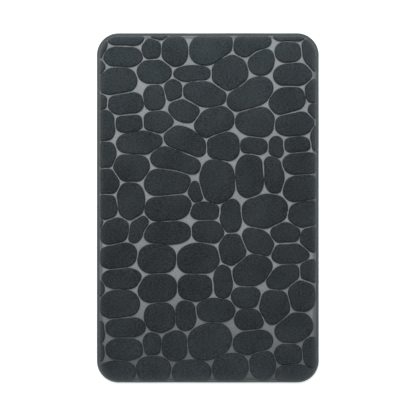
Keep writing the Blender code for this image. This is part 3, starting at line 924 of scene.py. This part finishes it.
def table_finish():
    """Matt white, barely uneven, and lit a little from within. It lets sight through from below."""
    f = Finish("studio_floor", 0.9, gloss=0.1)
    f.shader.inputs["Emission Color"].default_value = (1, 1, 1, 1)
    f.shader.inputs["Emission Strength"].default_value = 0.26
    f.paint(f.shade(f.noise(0.6), (0.88, 0.88, 0.88), (0.93, 0.93, 0.93)))
    from_below = f.node("ShaderNodeNewGeometry", {}, output="Backfacing")
    clear = f.node("ShaderNodeBsdfTransparent", {})
    seen = f.node("ShaderNodeMixShader", {0: from_below, 1: f.shader.outputs[0], 2: clear})
    f.tree.links.new(seen, f.tree.nodes["Material Output"].inputs["Surface"])
    return f.material


# ---------------------------------------------------------------- the studio


def soft_light(name, place, width, watts):
    """A square soft box at a place, turned to face the mat."""
    lamp = bpy.data.lights.new(name, "AREA")
    lamp.size, lamp.energy = width, watts
    box = bpy.data.objects.new(name, lamp)
    x, y, z = place
    box.location = place
    box.rotation_euler = (math.atan2(math.hypot(x, y), z), 0, math.atan2(y, x) + math.pi / 2)
    bpy.context.scene.collection.objects.link(box)


def studio_floor():
    """A wide white table just under the mat, which doesn't block or throw back the light of the surround."""
    side, low = 6.0, -0.2 * MM
    mesh = bpy.data.meshes.new("studio_floor")
    corners = [(-side, -side, low), (side, -side, low), (side, side, low), (-side, side, low)]
    mesh.from_pydata(corners, [], [(0, 1, 2, 3)])
    mesh.materials.append(table_finish())
    floor = bpy.data.objects.new("studio_floor", mesh)
    floor.visible_shadow = floor.visible_diffuse = floor.visible_glossy = False
    bpy.context.scene.collection.objects.link(floor)


def white_surround(strength):
    """A white world that lights the mat evenly from all sides."""
    world = bpy.data.worlds.new("studio_surround")
    world.use_nodes = True
    background = world.node_tree.nodes["Background"]
    background.inputs["Color"].default_value = (1, 1, 1, 1)
    background.inputs["Strength"].default_value = strength
    bpy.context.scene.world = world


def top_camera(height, view_across):
    """A camera straight above the mat, whose picture is `view_across` metres wide at the tape's height."""
    lens = bpy.data.cameras.new("top_camera")
    lens.sensor_width = 36
    lens.lens = lens.sensor_width * (height - TAPE_HIGH[2]) / view_across
    camera = bpy.data.objects.new("top_camera", lens)
    camera.location = (0.5 * MM, -0.4 * MM, height)
    bpy.context.scene.collection.objects.link(camera)
    bpy.context.scene.camera = camera


def studio_stage():
    """White floor and surround, a large soft box towards the mat's far end, and a camera straight above."""
    bpy.context.scene.view_settings.view_transform = "Standard"
    studio_floor()
    white_surround(strength=0.88)
    soft_light("key_box", place=(-0.2, 1.3, 1.5), width=0.9, watts=29)
    top_camera(height=3.0, view_across=0.9515)


# ---------------------------------------------------------------- operators, panel and main


class BATHMAT_OT_pile_cover(bpy.types.Operator):
    """Make the plush face cloth with its cobblestones"""

    bl_idname = "bathmat.pile_cover"
    bl_label = "Pile Cover"

    def execute(self, context):
        pile_cover()
        return {"FINISHED"}


class BATHMAT_OT_foam_pad(bpy.types.Operator):
    """Make the foam core under the face cloth"""

    bl_idname = "bathmat.foam_pad"
    bl_label = "Foam Pad"

    def execute(self, context):
        foam_pad()
        return {"FINISHED"}


class BATHMAT_OT_binding_tape(bpy.types.Operator):
    """Make the tape that binds the mat's edge"""

    bl_idname = "bathmat.binding_tape"
    bl_label = "Binding Tape"

    def execute(self, context):
        binding_tape()
        return {"FINISHED"}


class BATHMAT_OT_stitch_rows(bpy.types.Operator):
    """Make the needle and bobbin stitches that hold the tape"""

    bl_idname = "bathmat.stitch_rows"
    bl_label = "Stitch Rows"

    def execute(self, context):
        thread = context.scene.bath_mat_colours.thread
        stitch_row("needle_stitches", "needle_thread", NEEDLE_HIGH[2] - 0.6 * MM, 1, thread)
        stitch_row("bobbin_stitches", "bobbin_thread", TAPE_LOW[2] - 0.2 * MM, -1, times(thread, 0.9))
        return {"FINISHED"}


class BATHMAT_OT_backing(bpy.types.Operator):
    """Make the woven backing and the grip dots under it"""

    bl_idname = "bathmat.backing"
    bl_label = "Backing and Grip Dots"

    def execute(self, context):
        grip_dots()
        scrim_cloth()
        return {"FINISHED"}


class BATHMAT_OT_care_label(bpy.types.Operator):
    """Make the blank care label sewn under the tape"""

    bl_idname = "bathmat.care_label"
    bl_label = "Care Label"

    def execute(self, context):
        care_label()
        return {"FINISHED"}


class BATHMAT_OT_studio_stage(bpy.types.Operator):
    """Make the floor, the lights and the camera"""

    bl_idname = "bathmat.studio_stage"
    bl_label = "Studio Stage"

    def execute(self, context):
        studio_stage()
        return {"FINISHED"}


OPERATORS = (
    BATHMAT_OT_pile_cover,
    BATHMAT_OT_foam_pad,
    BATHMAT_OT_binding_tape,
    BATHMAT_OT_stitch_rows,
    BATHMAT_OT_backing,
    BATHMAT_OT_care_label,
    BATHMAT_OT_studio_stage,
)


class BATHMAT_PT_pieces(bpy.types.Panel):
    """Lists the bath mat's sizes, colours and pieces"""

    bl_idname = "BATHMAT_PT_pieces"
    bl_label = "Bath Mat"
    bl_space_type = "VIEW_3D"
    bl_region_type = "UI"
    bl_category = "Bath Mat"

    def draw(self, context):
        for group in (context.scene.bath_mat_sizes, context.scene.bath_mat_colours):
            column = self.layout.column(align=True)
            for name in group.bl_rna.properties.keys():
                if name not in ("rna_type", "name"):
                    column.prop(group, name)
        column = self.layout.column(align=True)
        for operator in OPERATORS:
            column.operator(operator.bl_idname)


CLASSES = (BathMatSizes, BathMatColours, *OPERATORS, BATHMAT_PT_pieces)


def register():
    for kind in CLASSES:
        bpy.utils.register_class(kind)
    bpy.types.Scene.bath_mat_sizes = PointerProperty(type=BathMatSizes)
    bpy.types.Scene.bath_mat_colours = PointerProperty(type=BathMatColours)


def unregister():
    del bpy.types.Scene.bath_mat_colours
    del bpy.types.Scene.bath_mat_sizes
    for kind in reversed(CLASSES):
        bpy.utils.unregister_class(kind)


def main():
    register()
    bpy.ops.bathmat.pile_cover()
    bpy.ops.bathmat.foam_pad()
    bpy.ops.bathmat.binding_tape()
    bpy.ops.bathmat.stitch_rows()
    bpy.ops.bathmat.backing()
    bpy.ops.bathmat.care_label()
    bpy.ops.bathmat.studio_stage()


if __name__ == "__main__":
    main()
